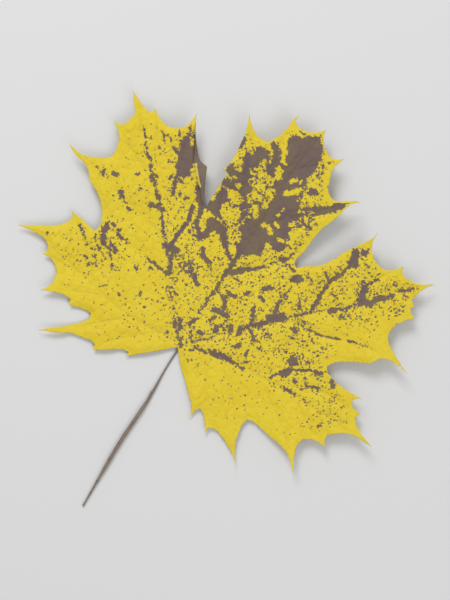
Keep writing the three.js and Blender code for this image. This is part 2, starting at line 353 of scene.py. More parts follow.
    (0.6, [(-52.6, 15.1), (-52, 14.9)]),
    (0.45, [(-62.2, 7.3), (-61.8, 7.3)]),
    (0.6, [(-28.8, 14.5), (-27.8, 13)]),
    (0.5, [(-24.2, 16.8), (-23.4, 16.6)]),
    (0.35, [(-22.5, 7.5), (-22.3, 6)]),
    (0.4, [(-25.2, 0.5), (-24.8, 0.5)]),
    (0.25, [(-20.5, 3.7), (-18, 3.7)]),
    (0.3, [(-19.5, 6.5), (-18.7, 7.5)]),
    (0.35, [(-28.7, 2.5), (-28.2, 2.5)]),
    (0.3, [(-36, 1.5), (-34.5, 3)]),
    (0.5, [(-6.7, 0.4), (-6.3, 0.2)]),
]

# Islands that stay yellow where brown lies all round them, in the same form.
YELLOW = [
    # beside the fold of the upper left lobe
    (0.5, [(-38.9, 70.3), (-37.5, 67.3)]),
    (0.6, [(-36.3, 63.6), (-35.3, 61.7)]),
    # left rim of the central lobe
    (1.45, [(-21.5, 77.5), (-19.6, 75.6)]),
    (1.15, [(-19.2, 75.4), (-18.3, 73), (-18, 71)]),
    (0.65, [(-17.2, 75.5), (-16, 73), (-15.3, 71)]),
    (1.45, [(-19.6, 68.5), (-17.6, 66), (-17, 64)]),
    (0.6, [(-19.2, 60), (-18.6, 59)]),
    (0.65, [(-16.8, 59.3), (-15.8, 60.3)]),
    (0.75, [(-13.4, 58.7), (-12.9, 58.4)]),
    (0.75, [(-19, 55.3), (-18.8, 52), (-18.4, 49.3)]),
    (0.4, [(-17, 55.4), (-15, 55.2)]),
    # between its left side veins and the midrib
    (0.95, [(-8.9, 86), (-8.4, 83), (-7.4, 80.5), (-6, 77.8), (-5.2, 76)]),
    (0.65, [(-4.7, 74.9), (-3.4, 74.2)]),
    (0.7, [(-6.5, 86), (-3.5, 85.4)]),
    (0.5, [(-9.6, 75), (-8.7, 73), (-8.2, 72)]),
    (1.35, [(-4.2, 71), (-2.9, 69)]),
    (1.25, [(-9.7, 70), (-9.4, 67.2), (-11.4, 65.5)]),
    (1.65, [(-8.5, 66), (-4.5, 65.6)]),
    (1.85, [(-9, 62.5), (-3, 62.3)]),
    (1.15, [(-1.7, 63.3), (-1.3, 61.3)]),
    (1.25, [(-7.5, 59.6), (-5, 58.2), (-2, 59.4), (-1.5, 57.3)]),
    (0.85, [(-8.3, 57.3), (-6, 56)]),
    (1.05, [(-4, 55.5), (-3, 53.8), (-2.2, 52.8)]),
    (0.5, [(-6.5, 52.5), (-5, 53)]),
    (0.4, [(-4.8, 50.5), (-4, 51)]),
    (0.3, [(-5, 49), (-4.7, 48)]),
    (1.95, [(-13, 54.8), (-11, 54.2)]),
    (2.05, [(-12.4, 50), (-12, 48.2), (-9.5, 46.8)]),
    (1.45, [(-9, 50.3), (-7.5, 48), (-6, 45.5)]),
    (1.65, [(-7, 44.3), (-3.6, 42.7)]),
    # along the rim at the lobe's end
    (0.9, [(-9, 88), (-3, 87.6), (0, 88.8), (2, 90.3)]),
    (0.8, [(3.2, 89), (5.2, 87), (6.9, 85)]),
    # right of the midrib
    (0.85, [(2.2, 70), (3, 71)]),
    (0.4, [(4.8, 72), (5.2, 71)]),
    (1.05, [(3, 65.4), (4.8, 67.3), (5.6, 68)]),
    (0.85, [(6.5, 69.4), (8, 70.5)]),
    (0.5, [(7.5, 65.6), (8, 66)]),
    (1.65, [(10, 67.5), (12.2, 66.2), (12.8, 69)]),
    (1.45, [(14.5, 70), (17.5, 70.8)]),
    (0.35, [(10.3, 62.3), (13, 64), (15, 65)]),
    (0.45, [(4.7, 60.1), (4.9, 59.6)]),
    (0.4, [(4.2, 57.2), (4.9, 57.7)]),
    (0.5, [(5, 54.8), (5.8, 53.9), (7, 53.6)]),
    (0.85, [(1.6, 51.5), (4, 51.9), (5.6, 50.5)]),
    (0.65, [(9.4, 49.9), (11.4, 50.6)]),
    (0.75, [(10.2, 56.7), (12.2, 59.3)]),
    (0.6, [(12.6, 60.5), (12.8, 62)]),
    (0.95, [(12, 54), (14.3, 56)]),
    (1.05, [(6.8, 46.3), (8.4, 45.2)]),
]

# How thickly brown specks lie: each entry is a density, a half width and a line.
SPECKLED = [
    (1, 13, [(-12, 38), (-8, 22), (6, 16)]),
    (1, 11, [(-14, 66), (-8, 50), (0, 36)]),
    (0.95, 12, [(4, 12), (14, 24), (12, 42)]),
    (0.85, 10, [(14, 52), (22, 38)]),
    (1, 10, [(22, 30), (40, 20), (52, 16)]),
    (1.3, 6, [(13, 64), (17.5, 57)]),
    (0.95, 8, [(17, 56), (17, 46)]),
    (1.2, 4, [(8, 79), (9.5, 72), (12, 66)]),
    (1.5, 4, [(-17.5, 27), (-11.5, 24)]),
    (1.2, 5, [(-9, 66), (-4, 60)]),
    (1.1, 4, [(17, 60), (19.5, 54)]),
    (1.1, 5, [(20, 17), (26, 17)]),
    (1.1, 5, [(46, 42), (50, 45)]),
    (1, 4, [(47, 60), (50, 62)]),
    (1, 11, [(32, 46), (42, 51), (56, 56)]),
    (0.85, 7, [(27, 47), (36, 58)]),
    (0.75, 5, [(8, 84), (-9, 84), (-19, 76), (-20, 64)]),
    (0.6, 9, [(30, 28), (44, 42)]),
    (0.75, 9, [(20, 12), (46, 12), (58, 8)]),
    (0.35, 9, [(30, 3), (58, 2)]),
    (0.8, 7, [(-34, 62), (-30, 50), (-26, 34)]),
    (0.35, 9, [(-46, 60), (-44, 48), (-40, 32)]),
    (0.85, 7, [(-44, 18), (-38, 12)]),
    (0.5, 8, [(-58, 8), (-44, 9)]),
    (0.8, 7, [(-12, 10), (-4, 4), (4, -2)]),
    (0.4, 12, [(-24, 14), (-16, 2)]),
    (0.6, 6, [(66, 36), (58, 44)]),
    (0.25, 50, [(-50, 40), (-20, 0), (50, 5)]),
]

# ---------------------------------------------------------------- curves and distances


def smoothstep(low, high, value):
    t = np.clip((value - low) / (high - low), 0, 1)
    return t * t * (3 - 2 * t)


def smooth_line(points, step):
    """Points about step apart on a centripetal Catmull-Rom curve through the given points."""
    points = [np.array(p, float) for p in points]
    ends = [2 * points[0] - points[1]] + points + [2 * points[-1] - points[-2]]
    out = [points[0]]
    for p0, p1, p2, p3 in zip(ends, ends[1:], ends[2:], ends[3:]):
        t1 = math.sqrt(np.linalg.norm(p1 - p0))
        t2 = t1 + math.sqrt(np.linalg.norm(p2 - p1))
        t3 = t2 + math.sqrt(np.linalg.norm(p3 - p2))
        count = max(1, round(np.linalg.norm(p2 - p1) / step))
        for k in range(1, count + 1):
            t = t1 + (t2 - t1) * k / count
            a1 = ((t1 - t) * p0 + t * p1) / t1
            a2 = ((t2 - t) * p1 + (t - t1) * p2) / (t2 - t1)
            a3 = ((t3 - t) * p2 + (t - t2) * p3) / (t3 - t2)
            b1 = ((t2 - t) * a1 + t * a2) / t2
            b2 = ((t3 - t) * a2 + (t - t1) * a3) / (t3 - t1)
            out.append(((t2 - t) * b1 + (t - t1) * b2) / (t2 - t1))
    return np.array(out)


def measure(line, plan):
    """How far each plan point is from a line, and how far along the line its nearest place is."""
    line = np.asarray(line, float)
    lengths = np.hypot(*(line[1:] - line[:-1]).T)
    before = np.cumsum(lengths) - lengths
    gap = np.full(len(plan), 1e9)
    place = np.zeros(len(plan))
    for a, b, length, start in zip(line, line[1:], lengths, before):
        t = np.clip(((plan - a) @ (b - a)) / length ** 2, 0, 1)
        distance = np.hypot(*(plan - a - t[:, None] * (b - a)).T)
        closer = distance < gap
        gap[closer] = distance[closer]
        place[closer] = ((start + t * length) / lengths.sum())[closer]
    return gap, place


def nearest(points, plan, count=1):
    """Distances in plan from each place to its nearest points, as count columns."""
    tree = KDTree(len(points))
    for index, (x, y) in enumerate(points):
        tree.insert((x, y, 0), index)
    tree.balance()
    rows = []
    for x, y in plan:
        rows.append([found[2] for found in tree.find_n((x, y, 0), count)])
    return np.array(rows)


# ---------------------------------------------------------------- margin of the CAD blade


random.seed(11)


def rim_corners(node):
    """Corners of the node's upper face in plan, in order round its margin."""
    places = {}
    plan = []

    def index_of(vertex):
        co = node.data.vertices[vertex].co
        key = (round(co.x * 1e5), round(co.y * 1e5), round(co.z * 1e5))
        if key not in places:
            places[key] = len(plan)
            plan.append((co.x / MM, co.y / MM))
        return places[key]

    halves = set()
    for face in node.data.polygons:
        if face.normal.z > 0.5:
            ring = [index_of(v) for v in face.vertices]
            halves.update(zip(ring, ring[1:] + ring[:1]))
    after = {a: b for a, b in halves if (b, a) not in halves}
    loops = []
    while after:
        loop = [min(after)]
        while loop[-1] in after:
            loop.append(after.pop(loop[-1]))
        loops.append(loop[:-1])
    rim = np.array([plan[i] for i in max(loops, key=len)])
    while True:
        turns = turn_angles(rim)
        straight = np.abs(turns) < STRAIGHT_TURN
        straight[1::2] &= ~straight[:-1:2][:len(straight[1::2])]
        if not straight.any():
            return rim
        rim = rim[~straight]


def turn_angles(loop):
    """How far a closed line turns at each of its points, in radians."""
    arriving = loop - np.roll(loop, 1, axis=0)
    leaving = np.roll(loop, -1, axis=0) - loop
    cross = arriving[:, 0] * leaving[:, 1] - arriving[:, 1] * leaving[:, 0]
    return np.arctan2(cross, (arriving * leaving).sum(axis=1))


def fine_margin(rim):
    """The rim with smooth bays between its sharp teeth and notches."""
    corners = np.flatnonzero(np.abs(turn_angles(rim)) > CORNER_TURN)
    out = []
    for first, last in zip(corners, np.roll(corners, -1)):
        count = (last - first) % len(rim)
        bay = [rim[(first + k) % len(rim)] for k in range(count + 1)]
        out.extend(smooth_line(bay, MARGIN_STEP)[:-1])
    return np.array(out)


def worn_margin(smooth):
    """The margin with its small unevenness and nicks. The tips of its teeth stay in place."""
    turns = turn_angles(smooth)
    tips = smooth[np.abs(turns) > CORNER_TURN]
    ahead = np.roll(smooth, -1, axis=0) - np.roll(smooth, 1, axis=0)
    inwards = np.column_stack((-ahead[:, 1], ahead[:, 0])) / np.hypot(*ahead.T)[:, None]
    rough = np.array([random.uniform(0, 1) for _ in smooth])
    rough = (rough + np.roll(rough, 1) + np.roll(rough, 2)) / 3 + 0.5 * rough - 0.4
    depth = MARGIN_ROUGHNESS * rough * smoothstep(0.5, 2.5, nearest(tips, smooth)[:, 0])
    depth += NICK_DEPTH * smoothstep(NICK_HALF_WIDTH, 0, nearest(NICKS, smooth)[:, 0])
    return smooth + inwards * depth[:, None]


def hole_loops():
    """The outline of each hole."""
    loops = []
    for x, y, half_length, half_width, degrees in HOLES:
        turn = math.radians(degrees)
        count = 8 + 4 * round(half_length / MARGIN_STEP)
        loop = []
        for k in range(count):
            angle = 2 * math.pi * k / count
            far = half_length * math.cos(angle)
            wide = half_width * math.sin(angle) * (1 + 0.3 * math.sin(3 * angle + 1))
            loop.append((
                x + far * math.cos(turn) - wide * math.sin(turn),
                y + far * math.sin(turn) + wide * math.cos(turn),
            ))
        loops.append(np.array(loop))
    return loops


# ---------------------------------------------------------------- relief of the blade

CELL_SPACING = 3.4      # between the centres of the small panels that the finest veins frame
CELL_JITTER = 0.36      # how far a centre strays, as a share of the spacing
CELL_ROWS = range(-12, 32)
CELL_COLUMNS = range(-26, 27)


def cell_centres():
    """Jittered centres of the small panels of blade between the finest veins."""
    out = []
    for row in CELL_ROWS:
        for column in CELL_COLUMNS:
            across = column + 0.5 * (row % 2) + random.uniform(-CELL_JITTER, CELL_JITTER)
            along = row + random.uniform(-CELL_JITTER, CELL_JITTER)
            out.append((across * CELL_SPACING, along * CELL_SPACING))
    return out


CELLS = cell_centres()
VEINS = [(smooth_line(v, 1), MAIN_HALF_WIDTH, MAIN_DEPTH) for v in MAIN_VEINS]
VEINS += [(smooth_line(v, 1), SIDE_HALF_WIDTH, SIDE_DEPTH) for v in SIDE_VEINS]


def mix(pair, t):
    return pair[0] + (pair[1] - pair[0]) * t


class Relief:
    """Heights and markings of the blade at the given plan points."""

    def __init__(self, plan, margin):
        self.plan = plan
        self.margin = nearest(margin, plan)[:, 0]
        two = nearest(CELLS, plan, 2)
        self.cell = two[:, 1] - two[:, 0]
        self.vein = np.zeros(len(plan))
        self.rib = np.zeros(len(plan))
        self.panel = np.full(len(plan), 99.0)
        for line, half_width, depth in VEINS:
            gap, place = measure(line, plan)
            half = mix(half_width, place)
            shape = np.exp(-(gap / half) ** 2)
            self.vein = np.maximum(self.vein, shape)
            self.rib = np.maximum(self.rib, shape * mix(depth, place))
            self.panel = np.minimum(self.panel, gap)

    def base(self):
        """Underside of the sheet without its veins: the CAD model's curl, and waves in it."""
        x, y = self.plan.T
        lift = smoothstep(FLAT_RADIUS, LIFT_RADIUS, np.hypot(x, y))
        angle = np.arctan2(y, x)
        lobe_lift = 4 + 1.6 * np.cos(angle - 0.4) + 1.4 * np.cos(3 * angle + 0.9)
        cup = CUPPING * (1 - np.cos(8 * angle)) / 2
        wave = np.sin(0.16 * x + 0.9) * np.cos(0.13 * y - 0.4) + 0.6 * np.sin(0.29 * (x - y))
        rim_wave = np.sin(0.31 * x + 0.23 * y) + np.sin(0.27 * y - 0.19 * x + 1.3)
        curl = RIM_WAVE_HEIGHT * rim_wave * smoothstep(RIM_WAVE_REACH, 0, self.margin)
        return REST_HEIGHT + CURL_SHARE * lift * (lobe_lift + cup) + WAVE_HEIGHT * wave + curl

    def top(self):
        """Upper side: panels bulge a little between the veins, which lie in grooves."""
        bulge = VEIN_PANEL_BULGE * smoothstep(0, 4, self.panel)
        bulge += CELL_BULGE * smoothstep(0, 1.4, self.cell)
        bulge *= smoothstep(0, 2.5, self.margin)
        groove = VEIN_GROOVE * self.vein * smoothstep(0, 2, self.margin)
        return self.base() + SHEET + bulge - groove

    def bottom(self):
        """Underside: the sheet follows the upper side, and the veins stand out as ribs."""
        thin = SHEET * mix((RIM_SHEET, 1), smoothstep(0, 0.8, self.margin))
        rib = self.rib * smoothstep(0, 3, self.margin)
        return np.maximum(self.top() - thin - rib, FLOOR_GAP)

    def inside(self, strokes):
        """How far inside the nearest of these strokes each place lies, up to 3 either way."""
        out = np.full(len(self.plan), -3.0)
        for half_width, line in strokes:
            gap, _ = measure(line, self.plan)
            out = np.maximum(out, half_width - gap)
        return np.minimum(out, 3)

    def decay_and_vein_shade(self):
        """Above 0 in brown decay and in the painted shade along the veins, below 0 in yellow, in
        millimetres.
        """
        return np.minimum(self.inside(DECAY_AND_VEIN_SHADE), -self.inside(YELLOW))

    def specks(self):
        """How thickly brown specks lie, from 0 to about 1.5."""
        out = np.zeros(len(self.plan))
        for density, half_width, line in SPECKLED:
            gap, _ = measure(line, self.plan)
            out = np.maximum(out, density * smoothstep(1.4 * half_width, 0.6 * half_width, gap))
        return out


def plan_points(edge, margin):
    """Points for the blade's mesh, away from its edges: rows along the veins, then a grid."""
    along_veins = []
    for line, half_width, _ in VEINS:
        for index in range(len(line) - 1):
            across = line[index + 1] - line[index]
            across = np.array([-across[1], across[0]]) / np.linalg.norm(across)
            half = mix(half_width, index / len(line))
            for side in (-0.9, 0, 0.9):
                along_veins.append(line[index] + across * side * half)
    along_veins = np.array(along_veins)
    low = margin.min(axis=0)
    high = margin.max(axis=0)
    row_step = MESH_STEP * math.sqrt(0.75)
    grid = []
    for row in range(int((high[1] - low[1]) / row_step)):
        for column in range(int((high[0] - low[0]) / MESH_STEP)):
            grid.append((low[0] + (column + 0.5 * (row % 2)) * MESH_STEP, low[1] + row * row_step))
    grid = np.array(grid)
    grid = grid[nearest(along_veins, grid)[:, 0] > 0.55 * MESH_STEP]
    inner = np.vstack((along_veins, grid))
    return inner[nearest(edge, inner)[:, 0] > 0.5 * MESH_STEP]


def inside_holes(places):
    """Which places lie in a hole."""
    found = np.zeros(len(places), bool)
    for x, y, half_length, half_width, degrees in HOLES:
        turn = math.radians(degrees)
        away = places - (x, y)
        far = away @ (math.cos(turn), math.sin(turn)) / half_length
        wide = away @ (-math.sin(turn), math.cos(turn)) / half_width
        found |= far ** 2 + wide ** 2 < 1
    return found


def fill_plan(margin, holes):
    """Plan points and triangles that fill the margin and leave the holes open."""
    loops = [margin] + holes
    points = []
    edges = []
    for loop in loops:
        first = len(points)
        points.extend(loop)
        edges.extend((first + k, first + (k + 1) % len(loop)) for k in range(len(loop)))
    points.extend(plan_points(np.vstack(loops), margin))
    result = delaunay_2d_cdt([Vector(p) for p in points], edges, [], 1, 1e-5)
    verts = np.array([tuple(v) for v in result[0]])
    triangles = np.array(result[2])
    triangles = triangles[~inside_holes(verts[triangles].mean(axis=1))]
    used = np.unique(triangles)
    renumber = np.full(len(verts), -1)
    renumber[used] = np.arange(len(used))
    return verts[used], renumber[triangles]


def make_object(name, vertices, faces):
    """A smooth-shaded mesh object in metres from vertices in millimetres."""
    mesh = bpy.data.meshes.new(name)
    mesh.from_pydata((np.asarray(vertices) * MM).tolist(), [], [list(map(int, f)) for f in faces])
    mesh.validate()
    mesh.shade_smooth()
    made = bpy.data.objects.new(name, mesh)
    bpy.context.collection.objects.link(made)
    return made


def store(made, name, values, kind="FLOAT"):
    """Puts one value per vertex on a mesh for its material to read."""
    layer = made.data.attributes.new(name, kind, "POINT")
    field = "value" if kind == "FLOAT" else "vector"
    layer.data.foreach_set(field, np.asarray(values, np.float32).ravel())


def open_edges(triangles):
    """Directed edges that only one triangle has."""
    halves = set()
    for a, b, c in triangles.tolist():
        halves.update(((a, b), (b, c), (c, a)))
    return sorted((a, b) for a, b in halves if (b, a) not in halves)


def close_sheet(name, top, bottom, triangles):
    """A closed thin sheet: triangles seen from above, the same ones below, and a rim."""
    count = len(top)
    faces = triangles.tolist()
    faces += (triangles[:, ::-1] + count).tolist()
    upper = len(triangles)
    for a, b in open_edges(triangles):
        faces.append((b, a, a + count, b + count))
    made = make_object(name, np.vstack((top, bottom)), faces)
    slots = np.ones(len(faces), np.int32)
    slots[:upper] = 0
    made.data.polygons.foreach_set("material_index", slots)
    return made


# ---------------------------------------------------------------- blade

margin = worn_margin(fine_margin(rim_corners(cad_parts["leaf_blade"])))
plan, triangles = fill_plan(margin, hole_loops())
relief = Relief(plan, margin)
top_height = relief.top()
bottom_height = relief.bottom()
blade = close_sheet(
    "blade",
    np.column_stack((plan, top_height)),
    np.column_stack((plan, bottom_height)),
    triangles,
)
both = np.vstack((plan, plan))
store(blade, "flat", np.column_stack((both, np.zeros(len(both)))), "FLOAT_VECTOR")
for name, values in (
    ("decay_and_vein_shade", relief.decay_and_vein_shade()),
    ("specks", relief.specks()),
    ("vein", relief.vein),
    ("cell", relief.cell),
    ("margin", relief.margin),
):
    store(blade, name, np.concatenate((values, values)))
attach(blade, "root")
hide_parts("leaf_blade")

# ---------------------------------------------------------------- folded margin

# The right margin of the upper left lobe is folded over onto the blade, so its paler
# underside shows. FOLD runs along the blade's own margin, and FREE_EDGE is the flap's other side.
FOLD = [
    [(-38.4, 69.6), (-36.7, 66.8), (-33, 62), (-29.6, 58.8), (-26.4, 58.2)],
    [(-26.4, 58.2), (-22, 49.6), (-18.9, 45)],
]
FREE_EDGE = [[
    (-38.2, 69), (-36, 65.4), (-33.4, 61.4), (-31.6, 57.9), (-28.7, 54.6), (-25, 50.9), (-19.3, 45),
]]
YELLOW_EDGE = (0.45, 0.77)      # the part of the free edge that is still yellow
YELLOW_FADE = 0.03
FLAP_ROWS = 90
FLAP_COLUMNS = 12
FLAP_SHEET = 0.2
FLAP_LIFT = 0.75        # of the free edge above the blade
FOLD_RADIUS = 0.3


def resampled(parts, count):
    """count + 1 evenly spaced points on smooth lines that join at corners."""
    line = np.vstack([smooth_line(part, 0.2)[min(k, 1):] for k, part in enumerate(parts)])
    lengths = np.hypot(*(line[1:] - line[:-1]).T)
    reach = np.concatenate(([0], np.cumsum(lengths))) / lengths.sum()
    places = np.linspace(0, 1, count + 1)
    return np.column_stack([np.interp(places, reach, line[:, k]) for k in (0, 1)])


def make_flap():
    """The folded strip: rows across it, whose points lie closer together beside the fold."""
    fold = resampled(FOLD, FLAP_ROWS)
    free = resampled(FREE_EDGE, FLAP_ROWS)
    v = np.linspace(0, 1, FLAP_COLUMNS + 1) ** 1.6
    plan_grid = fold[:, None] + (free - fold)[:, None] * v[None, :, None]
    flat = plan_grid.reshape(-1, 2)
    under = Relief(flat, margin)
    across = np.hypot(*(flat - np.repeat(fold, len(v), axis=0)).T)
    rise = FOLD_RADIUS * np.sqrt(1 - (1 - np.clip(across / FOLD_RADIUS, 0, 1)) ** 2)
    row = np.repeat(np.linspace(0, 1, FLAP_ROWS + 1), len(v))
    ends = smoothstep(0, 0.12, row) * smoothstep(1, 0.9, row)
    yellow_edge = smoothstep(YELLOW_EDGE[0], YELLOW_EDGE[0] + YELLOW_FADE, row)
    yellow_edge *= smoothstep(YELLOW_EDGE[1], YELLOW_EDGE[1] - YELLOW_FADE, row)
    ripple = 1 + 0.35 * np.sin(19 * row + 0.8) + 0.2 * np.sin(43 * row)
    height = under.top() + (rise + FLAP_LIFT * np.tile(v, len(fold)) * ripple) * ends
    width = len(v)
    quads = []
    for r in range(FLAP_ROWS):
        for c in range(FLAP_COLUMNS):
            a = r * width + c
            quads.append((a, a + width + 1, a + width))
            quads.append((a, a + 1, a + width + 1))
    quads = np.array(quads)
    thickness = FLAP_SHEET * (0.15 + 0.85 * ends)
    low = np.maximum(height - thickness, FLOOR_GAP)
    made = close_sheet(
        "folded_margin", np.column_stack((flat, height)), np.column_stack((flat, low)), quads
    )
    twice = np.vstack((flat, flat))
    store(made, "flat", np.column_stack((twice, np.zeros(len(twice)))), "FLOAT_VECTOR")
    edge = np.hypot(*(flat - np.repeat(free, len(v), axis=0)).T)
    wide = 0.9 + 0.7 * np.exp(-((row - YELLOW_EDGE[0] - YELLOW_FADE) / YELLOW_FADE) ** 2)
    none = np.zeros(len(flat))
    for name, values in (
        ("decay_and_vein_shade", 2.4 - 3.4 * smoothstep(wide, 0.4 * wide, edge) * yellow_edge),
        ("specks", none),
        ("vein", none),
        ("cell", under.cell),
        ("margin", edge),
    ):
        store(made, name, np.concatenate((values, values)))
    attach(made, "root")
    return made


flap = make_flap()

# ---------------------------------------------------------------- stalk

# The same route, end radius and largest radius as in the CAD model: the stalk lies on the floor.
STALK_LINE = [[(0, -2.35), (0, -10), (0.7, -24), (0.4, -42), (0.9, -56), (1.5, -69)]]
STALK_RADII = (0.3, 0.72)
STALK_LENGTH = 66.7
SHOULDER = 0.27         # where a small scar stands out on its left side, as a share of its length
SCAR_HEIGHT = 0.5       # as a share of its radius, as the ridges and the groove are
GROOVE_DEPTH = 0.16
GROOVE_HALF_ANGLE = 0.3
STALK_RINGS = 260
STALK_SIDES = 28


def make_stalk():
    """A round stalk of rings, with ridges, a groove, small swellings and one scar."""
    line = resampled(STALK_LINE, STALK_RINGS)
    tangent = np.gradient(line, axis=0)
    tangent /= np.hypot(*tangent.T)[:, None]
    vertices = []
    around_values = []
    run_values = []
    for index, (x, y) in enumerate(line):
        t = index / STALK_RINGS
        radius = mix(STALK_RADII, smoothstep(0.1, 0.45, t) * smoothstep(1, 0.66, t))
        scar = SCAR_HEIGHT * smoothstep(SHOULDER - 0.006, SHOULDER + 0.008, t)
        scar *= smoothstep(SHOULDER + 0.06, SHOULDER + 0.008, t)
        run = t * STALK_LENGTH
        knot = 0.05 * math.sin(run * 0.9) * math.sin(run * 0.37 + 1)
        for side in range(STALK_SIDES):
            angle = 2 * math.pi * side / STALK_SIDES
            ridge = 0.045 * math.cos(5 * angle + 0.06 * run) + 0.03 * math.cos(9 * angle - 0.1 * run)
            off_groove = angle - math.pi / 2 - 0.12 * math.sin(run / 9)
            groove = GROOVE_DEPTH * math.exp(-(off_groove / GROOVE_HALF_ANGLE) ** 2)
            r = radius * (0.92 + ridge - groove + knot + scar * max(-math.cos(angle), 0))
            sideways = r * math.cos(angle)
            height = max(radius + r * math.sin(angle), 0)
            vertices.append(
                (x - tangent[index, 1] * sideways, y + tangent[index, 0] * sideways, height)
            )
            around_values.append(angle)
            run_values.append(run)
    faces = []
    for ring in range(STALK_RINGS):
        for side in range(STALK_SIDES):
            a = ring * STALK_SIDES + side
            b = ring * STALK_SIDES + (side + 1) % STALK_SIDES
            faces.append((a, b, b + STALK_SIDES, a + STALK_SIDES))
    last = STALK_RINGS * STALK_SIDES
    for ring, order in ((0, -1), (last, 1)):
        centre = len(vertices)
        vertices.append(tuple(np.mean(vertices[ring:ring + STALK_SIDES], axis=0)))
        around_values.append(0)
        run_values.append(run_values[ring])
        for side in range(STALK_SIDES):
            corner = (ring + side, ring + (side + 1) % STALK_SIDES, centre)
            faces.append(corner[::order])
    made = make_object("stalk", vertices, faces)
    around = np.array(around_values)
    run = np.array(run_values)
    grain = np.column_stack((np.cos(around) * 0.7, np.sin(around) * 0.7, run))
    store(made, "grain", grain, "FLOAT_VECTOR")
    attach(made, "root")
    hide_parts("leaf_stalk")
    return made


stalk = make_stalk()

# ---------------------------------------------------------------- materials


class Nodes:
    """Short calls for building a material's node tree."""

    def __init__(self, name):
        self.material = bpy.data.materials.new(name)
        self.material.use_nodes = True
        self.tree = self.material.node_tree
        self.shader = self.tree.nodes["Principled BSDF"]

    def node(self, kind, inputs=None, **settings):
        made = self.tree.nodes.new("ShaderNode" + kind)
        for key, value in settings.items():
            setattr(made, key, value)
        for key, value in (inputs or {}).items():
            self.put(made.inputs[key], value)
        return made

    def put(self, socket, value):
        if isinstance(value, bpy.types.NodeSocket):
            self.tree.links.new(value, socket)
        else:
            socket.default_value = value

    def attribute(self, name, vector=False):
        made = self.node("Attribute", attribute_name=name)
        return made.outputs["Vector" if vector else "Fac"]

    def math(self, operation, *values):
        made = self.node("Math", operation=operation)
        for socket, value in zip(made.inputs, values):
            self.put(socket, value)
        return made.outputs[0]

    def noise(self, coordinates, scale, detail, roughness):
        made = self.node("TexNoise", {
            "Vector": coordinates, "Scale": scale, "Detail": detail, "Roughness": roughness,
        })
        return made.outputs["Fac"]

    def moved(self, coordinates, offset):
        made = self.node("VectorMath", operation="ADD")
        self.put(made.inputs[0], coordinates)
        self.put(made.inputs[1], offset)
        return made.outputs[0]

    def ramp(self, value, low, high):
        made = self.node("MapRange", interpolation_type="SMOOTHSTEP")
        for key, number in (("Value", value), ("From Min", low), ("From Max", high)):
            self.put(made.inputs[key], number)
        return made.outputs["Result"]

    def blend(self, factor, a, b):
        made = self.node("Mix", data_type="RGBA")
        self.put(made.inputs["Factor"], factor)
        self.put(made.inputs[6], a)
        self.put(made.inputs[7], b)
        return made.outputs[2]

    def bump(self, height, distance, strength, normal=None):
        """A bump of this height in metres, on top of another bump if one is given."""
        made = self.node("Bump", {"Height": height, "Distance": distance, "Strength": strength})
        if normal is not None:
            self.put(made.inputs["Normal"], normal)
        return made.outputs["Normal"]


def color(red, green, blue):
    """A linear colour from 0 to 255 values as a screen shows them."""
    out = []
    for value in (red, green, blue):
        value /= 255
        out.append(value / 12.92 if value < 0.04045 else ((value + 0.055) / 1.055) ** 2.4)
    return (*out, 1)


